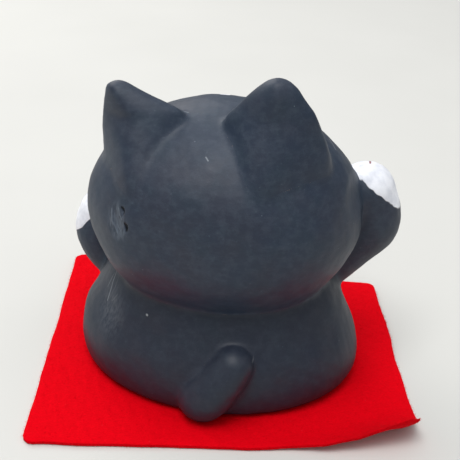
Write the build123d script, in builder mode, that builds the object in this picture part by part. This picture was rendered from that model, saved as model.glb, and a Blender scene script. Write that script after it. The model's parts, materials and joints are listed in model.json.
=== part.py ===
"""Beckoning cat figurine: a small hollow cat of fired clay, standing loose on a mat of felt.

Millimetres, +Z up, origin at the centre of the mat's underside, on which the whole thing rests.
The cat looks towards -Y and its left side is towards +X; it stands a little turned on its mat.

The body and the head are thin shells, each pressed in two halves that meet along a side seam.
The head sits in the dished rim on top of the body. Ears, paws, feet, tail, collar and bell are
solid lumps of clay that are stuck on, so each one is cut to the form of what it sits on.
"""

import os

from build123d import *

# ---- Felt mat
MAT_WIDTH = 74.4
MAT_DEPTH = 67.8  # along the cat's left side
MAT_SHORT_DEPTH = 59.6  # along its right side: the edge in front of the cat is cut aslant
FELT = 1.0
MAT_CORNER = 2.2  # radius of the three round corners
MAT_SNIP = 1.8  # the fourth corner is snipped off straight

# ---- Where the cat stands
CAT_X = 1.3
CAT_Y = 3.1
CAT_TURN = 12.0  # degrees, towards the cat's right

# ---- Body, in the cat's own frame: height above the mat, then half the width there
WALL = 3.0
BODY_RINGS = [
    (0.0, 27.2),
    (1.5, 28.8),
    (5.0, 29.4),
    (10.0, 28.3),
    (15.0, 25.8),
    (20.0, 23.3),
    (25.0, 20.7),
]
BODY_DEPTH_RATIO = 0.8  # front to back against side to side
VENT_RADIUS = 6.0  # firing hole in the base

# ---- Head, egg-shaped, with its widest line a little below the middle of its height
HEAD_AT = (-0.3, 1.5, 35.2)  # its centre in the cat's frame
HEAD_TILT = 1.0  # degrees, towards the cat's left shoulder
HEAD_WIDTH = 26.8  # these four are half sizes
HEAD_DEPTH = 22.0
CROWN_HEIGHT = 21.2
JAW_HEIGHT = 21.9
NECK_BORE = 14.0  # half the width of the opening between head and body

# ---- Muzzle pads and nose: how far out from the middle, proud of the face and above the head's centre
PAD_AT = (4.3, -1.7, -6.6)
PAD_SIZE = (5.4, 4.0, 4.0)
NOSE_AT = (0.0, 0.9, -3.2)
NOSE_SIZE = (1.9, 1.7, 1.3)

# ---- Ears, in a frame at the middle of the head that tilts and turns further than the face does
EAR_TILT = 8.2
EAR_TURN = 4.7
# height above the crown, distance out from the middle, distance back, half width, half thickness
LEFT_EAR_RINGS = [
    (-15.0, 10.2, 6.0, 11.4, 11.8),
    (-10.0, 10.4, 6.4, 10.4, 10.2),
    (-4.0, 10.6, 7.2, 8.9, 6.6),
    (0.3, 11.0, 7.6, 7.7, 4.6),
    (3.7, 13.2, 8.0, 4.5, 3.2),
    (6.0, 14.7, 8.2, 1.8, 1.6),
]
RIGHT_EAR_RINGS = [
    (-15.0, 10.2, 6.0, 11.8, 11.8),
    (-10.0, 10.8, 6.4, 11.2, 10.2),
    (-4.0, 12.0, 7.2, 9.6, 6.8),
    (-0.2, 12.8, 7.6, 8.1, 4.8),
    (3.2, 13.9, 8.0, 5.3, 3.4),
    (5.9, 14.7, 8.2, 2.2, 1.7),
]
EAR_TIP_ROUND = 0.9

# ---- Paws, from the buried shoulder to the tip: distance outside the head's widest line, distance
# back and height in the cat's frame, and the radius there
RIGHT_PAW = [
    (-8.8, -5.5, 18.0, 5.0),
    (-1.8, -7.6, 26.0, 5.6),
    (1.8, -8.2, 31.6, 6.1),
    (0.0, -7.9, 37.4, 6.1),
]
LEFT_PAW = [
    (-8.8, -5.5, 11.5, 5.4),
    (-1.6, -7.2, 16.8, 5.9),
    (1.1, -7.4, 21.4, 6.0),
    (0.4, -7.6, 25.2, 5.8),
]

# ---- Tail, from its buried root to the tip: distance to the cat's left, distance proud of the
# body's back, height, and the radius there
TAIL = [
    (-0.2, -4.9, 3.2, 4.9),
    (-1.9, -1.2, 4.4, 4.9),
    (-4.9, -0.3, 8.2, 4.4),
    (-7.1, 0.1, 12.0, 3.9),
]

# ---- Feet, stuck on low at the front
FOOT_OUT = 12.5
FOOT_SUNK = 0.8  # its centre is this far inside the body's front
FOOT_SIZE = (7.4, 7.6, 6.4)

# ---- Collar round the front of the neck, and its bell
COLLAR_HEIGHT = 23.2
COLLAR_FORWARD = -0.8  # of the body's middle
COLLAR_PROUD = 1.1  # its centre line stands this far off the body
COLLAR_RADIUS = 1.7
COLLAR_SPAN = 116.0  # degrees, centred on the front
BELL_HEIGHT = 19.0
BELL_PROUD = 2.2
BELL_RADIUS = 3.9
BELL_BAND = 0.35  # radius of the raised band round its middle
BELL_SLOT = 0.9
BELL_SLOT_DEPTH = 1.6

# ---- Frames
CAT = Location((CAT_X, CAT_Y, FELT), (0, 0, -CAT_TURN))
HEAD = CAT * Location(HEAD_AT, (0, HEAD_TILT, 0))
EARS = CAT * Location(HEAD_AT, (0, EAR_TILT, -EAR_TURN))
SIDE_SEAM = Plane(CAT * Location((0, 0, 0), (90, 0, 0)))  # its normal is towards the face
HEAD_SEAM = Plane(HEAD * Location((0, 0, 0), (90, 0, 0)))


def body_half_width(height):
    """Half the body's width at a height, straight from ring to ring."""
    for (low, width_low), (high, width_high) in zip(BODY_RINGS, BODY_RINGS[1:]):
        if height <= high:
            return width_low + (width_high - width_low) * (height - low) / (high - low)
    return BODY_RINGS[-1][1]


def body_half_depth(height, x=0.0):
    """Half the body's depth at a height, and at a distance to the side of its middle."""
    half_width = body_half_width(height)
    return BODY_DEPTH_RATIO * half_width * (1 - (x / half_width) ** 2) ** 0.5


def body_form(inset):
    """The body as a closed form, with its sides moved in by the inset."""
    with BuildPart(Plane(CAT)) as form:
        for height, half_width in BODY_RINGS:
            with BuildSketch(Plane(CAT).offset(height)):
                Ellipse(half_width - inset, half_width * BODY_DEPTH_RATIO - inset)
        loft()
    return form.part


def egg(width, depth, above, below):
    """A closed egg about the origin, from its half width, half depth and two half heights."""
    with BuildPart() as form:
        with BuildSketch(Plane.XZ):
            with BuildLine():
                crown = EllipticalCenterArc((0, 0), width, above, 0, arc_size=90)
                jaw = EllipticalCenterArc((0, 0), width, below, 270, arc_size=90)
                Line(crown @ 1, jaw @ 0)
            make_face()
        revolve(axis=Axis.Z)
        scale(by=(1, depth / width, 1))
    return form.part


def placed(form, frame, offset=(0, 0, 0)):
    """The form, moved to a point of one of the frames above."""
    with BuildPart(Plane(frame * Location(offset))) as there:
        add(form)
    return there.part


def ear_form(rings, side):
    """An ear from inside the head to its rounded tip; side is 1 for the cat's left."""
    with BuildPart(Plane(EARS)) as form:
        for above_crown, out, back, half_width, half_thickness in rings:
            centre = EARS * Location((side * out, back, CROWN_HEIGHT + above_crown))
            with BuildSketch(Plane(centre)):
                Ellipse(half_width, half_thickness)
        loft()
        fillet(form.faces().sort_by(Axis.Z)[-1].edges(), EAR_TIP_ROUND)
    return form.part


def limb_form(path, radii):
    """A limb with a round tip, swept along a curve through the path in the cat's frame."""
    with BuildPart() as form:
        with BuildLine(Plane(CAT)):
            spine = Spline(*path)
        for number, radius in enumerate(radii):
            along = number / (len(radii) - 1)
            with BuildSketch(Plane(spine @ along, z_dir=spine % along)):
                Circle(radius)
        sweep(path=spine, multisection=True)
        with Locations(spine @ 1):
            Sphere(radii[-1])
    return form.part


# ---- Forms that the pieces are cut from
body_skin = body_form(0)
head_skin = placed(egg(HEAD_WIDTH, HEAD_DEPTH, CROWN_HEIGHT, JAW_HEIGHT), HEAD)
head_hollow = placed(
    egg(HEAD_WIDTH - WALL, HEAD_DEPTH - WALL, CROWN_HEIGHT - WALL, JAW_HEIGHT - WALL), HEAD
)
right_limb = limb_form(
    [(-HEAD_WIDTH - out, back, height) for out, back, height, radius in RIGHT_PAW],
    [radius for out, back, height, radius in RIGHT_PAW],
)
left_limb = limb_form(
    [(HEAD_WIDTH + out, back, height) for out, back, height, radius in LEFT_PAW],
    [radius for out, back, height, radius in LEFT_PAW],
)
tail_limb = limb_form(
    [(x, body_half_depth(height, x) + proud, height) for x, proud, height, radius in TAIL],
    [radius for x, proud, height, radius in TAIL],
)
foot = egg(*FOOT_SIZE, FOOT_SIZE[-1])
pad = egg(*PAD_SIZE, PAD_SIZE[-1])
nose = egg(*NOSE_SIZE, NOSE_SIZE[-1])

with BuildPart() as body_hollow:
    add(body_form(WALL))
    split(bisect_by=Plane(CAT).offset(WALL), keep=Keep.TOP)

with BuildPart(Plane(CAT)) as under_cat:
    Box(4 * HEAD_WIDTH, 4 * HEAD_WIDTH, HEAD_WIDTH, align=(Align.CENTER, Align.CENTER, Align.MAX))

with BuildPart() as neck_opening:
    with BuildSketch(Plane(HEAD)):
        Ellipse(NECK_BORE, NECK_BORE * BODY_DEPTH_RATIO)
    extrude(amount=-2 * JAW_HEIGHT)

with BuildPart() as body_shell:
    add(body_skin)
    add(body_hollow.part, mode=Mode.SUBTRACT)
    add(head_skin, mode=Mode.SUBTRACT)
    with BuildSketch(Plane(CAT)):
        Circle(VENT_RADIUS)
    extrude(amount=WALL, mode=Mode.SUBTRACT)

with BuildPart() as head_shell:
    add(head_skin)
    for side in (-1, 1):
        add(placed(pad, HEAD, (side * PAD_AT[0], -HEAD_DEPTH - PAD_AT[1], PAD_AT[2])))
    add(placed(nose, HEAD, (NOSE_AT[0], -HEAD_DEPTH - NOSE_AT[1], NOSE_AT[2])))
    add(head_hollow, mode=Mode.SUBTRACT)
    add(neck_opening.part, mode=Mode.SUBTRACT)


# ---- The mat
with BuildPart() as felt_mat:
    half_width, half_depth = MAT_WIDTH / 2, MAT_DEPTH / 2
    with BuildSketch() as outline:
        with BuildLine():
            Polyline(
                (half_width, half_depth),
                (-half_width, half_depth),
                (-half_width, half_depth - MAT_SHORT_DEPTH),
                (half_width, -half_depth),
                close=True,
            )
        make_face()
        corners = outline.vertices()
        snipped = corners.sort_by_distance((-half_width, half_depth))[0]
        fillet([corner for corner in corners if corner != snipped], MAT_CORNER)
        chamfer(outline.vertices().sort_by_distance((-half_width, half_depth))[0], MAT_SNIP)
    extrude(amount=FELT)

# ---- The two halves of the body and of the head
with BuildPart() as body_front_shell:
    add(body_shell.part)
    split(bisect_by=SIDE_SEAM, keep=Keep.TOP)

with BuildPart() as body_back_shell:
    add(body_shell.part)
    split(bisect_by=SIDE_SEAM, keep=Keep.BOTTOM)

with BuildPart() as head_front_shell:
    add(head_shell.part)
    split(bisect_by=HEAD_SEAM, keep=Keep.TOP)

with BuildPart() as head_back_shell:
    add(head_shell.part)
    split(bisect_by=HEAD_SEAM, keep=Keep.BOTTOM)

# ---- What is stuck on
with BuildPart() as left_ear:
    add(ear_form(LEFT_EAR_RINGS, 1))
    add(head_skin, mode=Mode.SUBTRACT)

with BuildPart() as right_ear:
    add(ear_form(RIGHT_EAR_RINGS, -1))
    add(head_skin, mode=Mode.SUBTRACT)

with BuildPart() as left_paw:
    add(left_limb)
    add(head_skin, mode=Mode.SUBTRACT)
    add(body_skin, mode=Mode.SUBTRACT)

with BuildPart() as right_paw:
    add(right_limb)
    add(head_skin, mode=Mode.SUBTRACT)
    add(body_skin, mode=Mode.SUBTRACT)

with BuildPart() as tail:
    add(tail_limb)
    add(body_skin, mode=Mode.SUBTRACT)
    add(under_cat.part, mode=Mode.SUBTRACT)

with BuildPart() as left_foot:
    add(placed(foot, CAT, (FOOT_OUT, FOOT_SUNK - body_half_depth(0), 0)))
    add(body_skin, mode=Mode.SUBTRACT)
    add(under_cat.part, mode=Mode.SUBTRACT)

with BuildPart() as right_foot:
    add(placed(foot, CAT, (-FOOT_OUT, FOOT_SUNK - body_half_depth(0), 0)))
    add(body_skin, mode=Mode.SUBTRACT)
    add(under_cat.part, mode=Mode.SUBTRACT)

with BuildPart() as collar:
    with BuildLine(Plane(CAT * Location((0, -COLLAR_FORWARD, COLLAR_HEIGHT)))):
        round_neck = EllipticalCenterArc(
            (0, 0),
            body_half_width(COLLAR_HEIGHT) + COLLAR_PROUD,
            body_half_depth(COLLAR_HEIGHT) + COLLAR_PROUD,
            270 - COLLAR_SPAN / 2,
            arc_size=COLLAR_SPAN,
        )
    with BuildSketch(Plane(round_neck @ 0, z_dir=round_neck % 0)):
        Circle(COLLAR_RADIUS)
    sweep()
    for neighbour in (head_skin, head_shell.part, body_skin, left_limb, right_limb):
        add(neighbour, mode=Mode.SUBTRACT)

BELL = CAT * Location((0, -BELL_PROUD - body_half_depth(BELL_HEIGHT), BELL_HEIGHT))
with BuildPart(Plane(BELL)) as whole_bell:
    Sphere(BELL_RADIUS)
    Torus(BELL_RADIUS, BELL_BAND)
    with Locations((0, 0, BELL_SLOT_DEPTH - BELL_RADIUS)):
        Box(
            2 * BELL_RADIUS,
            BELL_SLOT,
            BELL_RADIUS,
            align=(Align.CENTER, Align.CENTER, Align.MAX),
            mode=Mode.SUBTRACT,
        )

with BuildPart() as bell:
    add(whole_bell.part)
    for neighbour in (body_skin, head_skin, collar.part):
        add(neighbour, mode=Mode.SUBTRACT)

PIECES = {
    "felt_mat": felt_mat,
    "body_front_shell": body_front_shell,
    "body_back_shell": body_back_shell,
    "head_front_shell": head_front_shell,
    "head_back_shell": head_back_shell,
    "left_ear": left_ear,
    "right_ear": right_ear,
    "left_paw": left_paw,
    "right_paw": right_paw,
    "tail": tail,
    "left_foot": left_foot,
    "right_foot": right_foot,
    "collar": collar,
    "bell": bell,
}

os.makedirs("parts", exist_ok=True)
for name, piece in PIECES.items():
    piece.part.label = name
    export_step(piece.part, f"parts/{name}.step")
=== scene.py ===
"""Looks of the beckoning cat figurine: a small cat of painted clay on a mat of red felt.

Everything is shaped in millimetres, in the frame of the part, and made metres at the very end.
The cat is first modelled whole, as one skin of clay, and then cut into the pieces that it is
stuck together from, so that no seam shows through the paint.
"""

import json
import math
import random

import bmesh
import bpy
import numpy as np
from mathutils import Matrix, Vector

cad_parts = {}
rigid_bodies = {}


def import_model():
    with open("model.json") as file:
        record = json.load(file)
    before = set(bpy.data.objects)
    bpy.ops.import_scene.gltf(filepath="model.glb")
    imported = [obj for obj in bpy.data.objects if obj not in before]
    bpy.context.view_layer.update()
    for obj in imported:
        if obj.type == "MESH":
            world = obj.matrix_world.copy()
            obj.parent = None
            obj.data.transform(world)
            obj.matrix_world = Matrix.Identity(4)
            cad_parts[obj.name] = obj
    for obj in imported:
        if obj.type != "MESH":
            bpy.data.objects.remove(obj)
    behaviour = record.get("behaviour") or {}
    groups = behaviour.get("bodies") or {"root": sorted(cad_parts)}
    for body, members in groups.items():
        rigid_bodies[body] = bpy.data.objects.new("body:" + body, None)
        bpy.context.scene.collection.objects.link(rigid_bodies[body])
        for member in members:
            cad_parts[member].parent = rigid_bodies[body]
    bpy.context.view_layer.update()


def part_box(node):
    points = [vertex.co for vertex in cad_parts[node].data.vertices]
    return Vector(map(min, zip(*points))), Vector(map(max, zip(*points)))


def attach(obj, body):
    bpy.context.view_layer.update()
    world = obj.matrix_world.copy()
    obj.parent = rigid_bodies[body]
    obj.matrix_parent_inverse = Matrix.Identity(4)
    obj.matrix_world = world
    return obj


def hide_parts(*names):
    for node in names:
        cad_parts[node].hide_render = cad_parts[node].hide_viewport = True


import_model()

MM = 0.001
GRAIN = 0.32  # how finely the clay is worked

# ---- The cat's own frame: it stands a little turned on its mat, and looks towards its -Y


def box_of(*nodes):
    """The lowest and highest corner of some nodes together, in millimetres."""
    boxes = [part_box(node) for node in nodes]
    low = [min(box[0][axis] for box in boxes) / MM for axis in range(3)]
    high = [max(box[1][axis] for box in boxes) / MM for axis in range(3)]
    return Vector(low), Vector(high)


def turned(degrees, axis):
    return Matrix.Rotation(math.radians(degrees), 4, axis)


def at(x, y, z):
    return Matrix.Translation((x, y, z))


MAT_LOW, MAT_HIGH = box_of("felt_mat")
BODY_LOW, BODY_HIGH = box_of("body_front_shell", "body_back_shell")
BODY_MIDDLE = (BODY_LOW + BODY_HIGH) / 2
CAT = at(BODY_MIDDLE.x, BODY_MIDDLE.y, MAT_HIGH.z) @ turned(-12, "Z")
HEAD_AT = Vector((-0.3, 1.5, 35.2))
HEAD = CAT @ at(*HEAD_AT) @ turned(1, "Y")
EARS = CAT @ at(*HEAD_AT) @ turned(8.2, "Y") @ turned(-4.7, "Z")

# ---- Sizes of the clay
WALL = 3.0
HEAD_SIZE = (26.8, 22.0, 21.2, 21.9)  # half width, half depth, rise of the crown, drop of the jaw
BODY_RINGS = [(0, 27.2), (1.5, 28.8), (5, 29.4), (10, 28.3), (15, 25.8), (20, 23.3), (25, 20.7)]
BODY_DEPTH_RATIO = 0.8
VENT_RADIUS = 6.0
NECK_BORE = 14.0

# height above the crown, distance out, distance back, half width, half thickness
LEFT_EAR = [
    (-15.0, 10.2, 6.0, 11.4, 12.6),
    (-10.0, 10.4, 6.4, 10.6, 11.6),
    (-4.0, 10.7, 7.2, 9.2, 7.6),
    (0.3, 11.0, 8.0, 7.7, 4.1),
    (2.0, 12.0, 8.4, 6.2, 3.4),
    (3.7, 13.2, 8.7, 4.5, 2.7),
    (5.1, 14.1, 8.8, 3.1, 2.2),
    (6.2, 14.7, 8.7, 1.9, 1.6),
    (6.8, 14.8, 8.6, 0.4, 0.4),
]
RIGHT_EAR = [
    (-15.0, 10.2, 6.0, 11.8, 11.8),
    (-10.0, 10.8, 6.4, 11.2, 10.2),
    (-4.0, 12.0, 7.2, 9.6, 6.8),
    (-0.2, 12.8, 8.0, 8.1, 4.3),
    (1.5, 13.4, 8.3, 6.7, 3.6),
    (3.2, 13.9, 8.6, 5.3, 3.0),
    (4.6, 14.4, 8.7, 4.0, 2.5),
    (5.6, 14.6, 8.7, 2.8, 2.0),
    (6.2, 14.7, 8.6, 1.8, 1.5),
    (6.6, 14.7, 8.6, 0.4, 0.4),
]
# side, back and height in the cat's frame, and the radius there
RIGHT_PAW = [
    (-18.0, -5.5, 18.0, 5.0),
    (-25.0, -7.6, 26.0, 5.6),
    (-28.6, -8.2, 31.6, 6.1),
    (-26.8, -7.9, 37.4, 6.1),
]
LEFT_PAW = [
    (18.0, -5.5, 11.5, 5.4),
    (25.2, -7.2, 16.8, 5.9),
    (27.9, -7.4, 21.4, 6.0),
    (27.2, -7.6, 25.2, 5.8),
]
TAIL = [
    (-0.2, 17.8, 3.2, 4.9),
    (-1.9, 22.2, 4.4, 4.9),
    (-4.9, 22.3, 8.2, 4.4),
    (-7.1, 21.2, 12.0, 3.9),
]
FOOT_AT = (12.5, -21.0, 0)
FOOT_SIZE = (7.4, 7.6, 6.4, 6.4)
PAD_AT = (4.3, -20.3, -6.6)
PAD_SIZE = (5.4, 4.0, 4.0, 4.0)
NOSE_AT = (0, -22.9, -3.2)
NOSE_SIZE = (1.9, 1.7, 1.3, 1.3)
COLLAR_AT = (0, 0.8, 23.2)
COLLAR_SIZE = (22.8, 18.5)
COLLAR_SPAN = 116
COLLAR_RADIUS = 1.7
BELL_AT = (0, -21.3, 19)
BELL_RADIUS = 3.9
BELL_BAND = 0.42  # radius of the band round its middle
BELL_HOLE_OUT = 2.4  # the slot ends in a round hole at this distance from the middle

SLOTS = {
    "left_foot": "white_clay",
    "right_foot": "white_clay",
    "collar": "red_paint",
    "bell": "gold_paint",
}


# ---- Working clay


def model(name, *makers, finish=None):
    """A new object whose mesh each maker adds a form to."""
    shape = bmesh.new()
    for make in makers:
        make(shape)
    bmesh.ops.recalc_face_normals(shape, faces=shape.faces)
    mesh = bpy.data.meshes.new(name)
    mesh.materials.append(finish)
    shape.to_mesh(mesh)
    shape.free()
    made = bpy.data.objects.new(name, mesh)
    bpy.context.scene.collection.objects.link(made)
    return made


def modify(thing, kind, **settings):
    """Puts a modifier on the object and works it into the mesh."""
    step = thing.modifiers.new(kind, kind)
    for setting, value in settings.items():
        setattr(step, setting, value)
    graph = bpy.context.evaluated_depsgraph_get()
    worked = bpy.data.meshes.new_from_object(thing.evaluated_get(graph))
    thing.modifiers.clear()
    thing.data = worked
    return thing


def knead(thing, grain, softness):
    """Makes one clean skin of forms that run into each other, and smooths it."""
    modify(thing, "REMESH", mode="VOXEL", voxel_size=grain)
    return modify(thing, "SMOOTH", factor=0.5, iterations=softness)


def cut(thing, tool, operation="DIFFERENCE"):
    """Cuts the object with another; the cut faces keep the finish of the tool."""
    return modify(
        thing,
        "BOOLEAN",
        operation=operation,
        solver="MANIFOLD",
        material_mode="TRANSFER",
        object=tool,
    )


def copy_of(thing, name):
    twin = thing.copy()
    twin.data = thing.data.copy()
    twin.name = name
    bpy.context.scene.collection.objects.link(twin)
    return twin


def throw_away(thing):
    bpy.data.objects.remove(thing)


def through(points, count):
    """Even steps along a smooth run through a few chosen points."""
    run = np.array(points, float)
    run = np.vstack([2 * run[0] - run[1], run, 2 * run[-1] - run[-2]])
    steps = []
    for along in np.linspace(0, len(points) - 1, count):
        number = min(int(along), len(points) - 2)
        t = along - number
        a, b, c, d = run[number : number + 4]
        curve = c - a + t * (2 * a - 5 * b + 4 * c - d + t * (3 * (b - c) + d - a))
        steps.append((b + 0.5 * t * curve).tolist())
    return steps


def egg(place, size, grow=0.0):
    """Adds an egg: its half width, half depth, height above its middle and depth below it."""
    width, depth, above, below = (length + grow for length in size)

    def make(shape):
        made = bmesh.ops.create_icosphere(shape, subdivisions=5, radius=1)["verts"]
        for vert in made:
            vert.co.z *= above if vert.co.z > 0 else below
        bmesh.ops.scale(shape, vec=(width, depth, 1), verts=made)
        bmesh.ops.transform(shape, matrix=place, verts=made)

    return make


def stack(place, rings, ridge=0.0):
    """Adds a closed form through level ovals: x, y, z, half width and half depth of each.
    A ridge above 0 pinches its back into a soft keel."""

    def make(shape):
        made = bmesh.ops.create_circle(shape, cap_ends=False, segments=96, radius=1)["verts"]
        loop = list({edge for vert in made for edge in vert.link_edges})
        ends = loop
        for _ in rings[1:]:
            grown = bmesh.ops.extrude_edge_only(shape, edges=loop)["geom"]
            loop = [item for item in grown if isinstance(item, bmesh.types.BMEdge)]
            level = [item for item in grown if isinstance(item, bmesh.types.BMVert)]
            bmesh.ops.translate(shape, vec=(0, 0, 1), verts=level)
            made = made + level
        for end in (ends, loop):
            bmesh.ops.contextual_create(shape, geom=end)
        for vert in made:
            x, y, z, half_width, half_depth = rings[round(vert.co.z)]
            side, back = vert.co.x, vert.co.y
            if back > 0:
                back = (1 - ridge) * back + ridge * (1 - math.hypot(side, 0.3)) / 0.7
            vert.co = place @ Vector((x + side * half_width, y + back * half_depth, z))

    return make


def beads(places):
    """Adds balls that run into each other, each x, y, z in the cat's frame and its radius."""

    def make(shape):
        for x, y, z, radius in places:
            place = CAT @ at(x, y, z)
            bmesh.ops.create_icosphere(shape, subdivisions=3, radius=radius, matrix=place)

    return make


def limb(points, grow):
    """Adds a rounded limb along a smooth run of points, each x, y, z and the radius there."""
    return beads([(x, y, z, radius + grow) for x, y, z, radius in through(points, 30)])


def block(place, size):
    def make(shape):
        made = bmesh.ops.create_cube(shape, size=1)["verts"]
        bmesh.ops.scale(shape, vec=size, verts=made)
        bmesh.ops.transform(shape, matrix=place, verts=made)

    return make


# ---- Forms of the cat


def body_form(grow=0.0):
    rings = []
    for height, half_width in through(BODY_RINGS, 40):
        stretched = height + grow * (2 * height / BODY_RINGS[-1][0] - 1)
        rings.append((0, 0, stretched, half_width + grow, half_width * BODY_DEPTH_RATIO + grow))
    return stack(CAT, rings)


def ear_form(rings, side, grow):
    levels = []
    for above, out, back, half_width, half_thickness in through(rings, 48):
        top = grow * (above - rings[0][0]) / (rings[-1][0] - rings[0][0])
        oval = (max(half_width, 0.2) + grow, max(half_thickness, 0.2) + grow)
        levels.append((side * out, back, HEAD_SIZE[2] + above + top, *oval))
    return stack(EARS, levels, ridge=0.65)


def foot_form(side, grow):
    x, y, z = FOOT_AT
    return egg(CAT @ at(side * x, y, z), FOOT_SIZE, grow)


def collar_form():
    """A roll of clay across the front of the neck."""
    lumps = []
    for angle in np.linspace(-COLLAR_SPAN / 2, COLLAR_SPAN / 2, 70):
        turn = math.radians(angle)
        x = COLLAR_AT[0] + COLLAR_SIZE[0] * math.sin(turn)
        y = COLLAR_AT[1] - COLLAR_SIZE[1] * math.cos(turn)
        lumpy = 0.12 * math.sin(angle * 0.31) + 0.08 * math.sin(angle * 0.83 + 1)
        lumps.append((x, y, COLLAR_AT[2] + 0.5 * lumpy, COLLAR_RADIUS + lumpy))
    return beads(lumps)


EXTRAS = {
    "left_ear": lambda grow: ear_form(LEFT_EAR, 1, grow),
    "right_ear": lambda grow: ear_form(RIGHT_EAR, -1, grow),
    "right_paw": lambda grow: limb(RIGHT_PAW, grow),
    "left_paw": lambda grow: limb(LEFT_PAW, grow),
    "tail": lambda grow: limb(TAIL, grow),
    "left_foot": lambda grow: foot_form(1, grow),
    "right_foot": lambda grow: foot_form(-1, grow),
}


def bell_band(shape):
    """The raised band round the bell."""
    middle = CAT @ at(*BELL_AT)
    ring = bmesh.ops.create_circle(
        shape,
        cap_ends=False,
        segments=16,
        radius=BELL_BAND,
        matrix=middle @ at(BELL_RADIUS, 0, 0) @ turned(90, "X"),
    )["verts"]
    bmesh.ops.spin(
        shape,
        geom=ring + list({edge for vert in ring for edge in vert.link_edges}),
        cent=middle.to_translation(),
        axis=middle.to_3x3() @ Vector((0, 0, 1)),
        angle=2 * math.pi,
        steps=96,
        use_merge=True,
    )


def bell_slot():
    """The cut across the bottom of the bell, with a round hole at each end."""
    middle = CAT @ at(*BELL_AT)
    across = block(middle @ at(0, 0, -BELL_RADIUS), (4.6, 0.8, 3.4))
    places = [middle @ at(out, 0, -3.1) for out in (BELL_HOLE_OUT, -BELL_HOLE_OUT)]
    return [across, *[egg(place, (0.85, 0.85, 1.3, 1.3)) for place in places]]


def floor_form(shape):
    bmesh.ops.create_grid(shape, x_segments=1, y_segments=1, size=2)


def floor_paint():
    paint = Paint("floor_paint", Roughness=0.85)
    here = paint.point(Matrix.Identity(4))
    shade = paint.noise(here, 60, 2)
    colour = paint.mix(shade, FLOOR_PALE, FLOOR_DULL)
    return paint.coat(colour, paint.math("ADD", shade * 0.05, 0.8), shade * 0.01)


# ---- Paint


class Value:
    """A number or vector on its way through a material, to be added, scaled and compared."""

    def __init__(self, paint, socket):
        self.paint = paint
        self.socket = socket

    def __add__(self, other):
        return self.paint.math("ADD", self, other)

    def __sub__(self, other):
        return self.paint.math("SUBTRACT", self, other)

    def __rsub__(self, other):
        return self.paint.math("SUBTRACT", other, self)

    def __mul__(self, other):
        return self.paint.math("MULTIPLY", self, other)

    def __pow__(self, power):
        return self.paint.math("POWER", self, power)

    def __abs__(self):
        return self.paint.math("ABSOLUTE", self)

    def __or__(self, other):
        """The larger of the two: either mask."""
        return self.paint.math("MAXIMUM", self, other)

    def __and__(self, other):
        """The smaller of the two: both masks."""
        return self.paint.math("MINIMUM", self, other)

    __radd__ = __add__
    __rmul__ = __mul__

    def past(self, edge, soft):
        """0 below the edge and 1 above it, with a soft step between."""
        return self.paint.node(
            "MapRange",
            {"Value": self, "From Min": edge - soft, "From Max": edge + soft},
            interpolation_type="SMOOTHSTEP",
        )

    def within(self, edge, soft):
        """1 below the edge and 0 above it."""
        return 1 - self.past(edge, soft)


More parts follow.
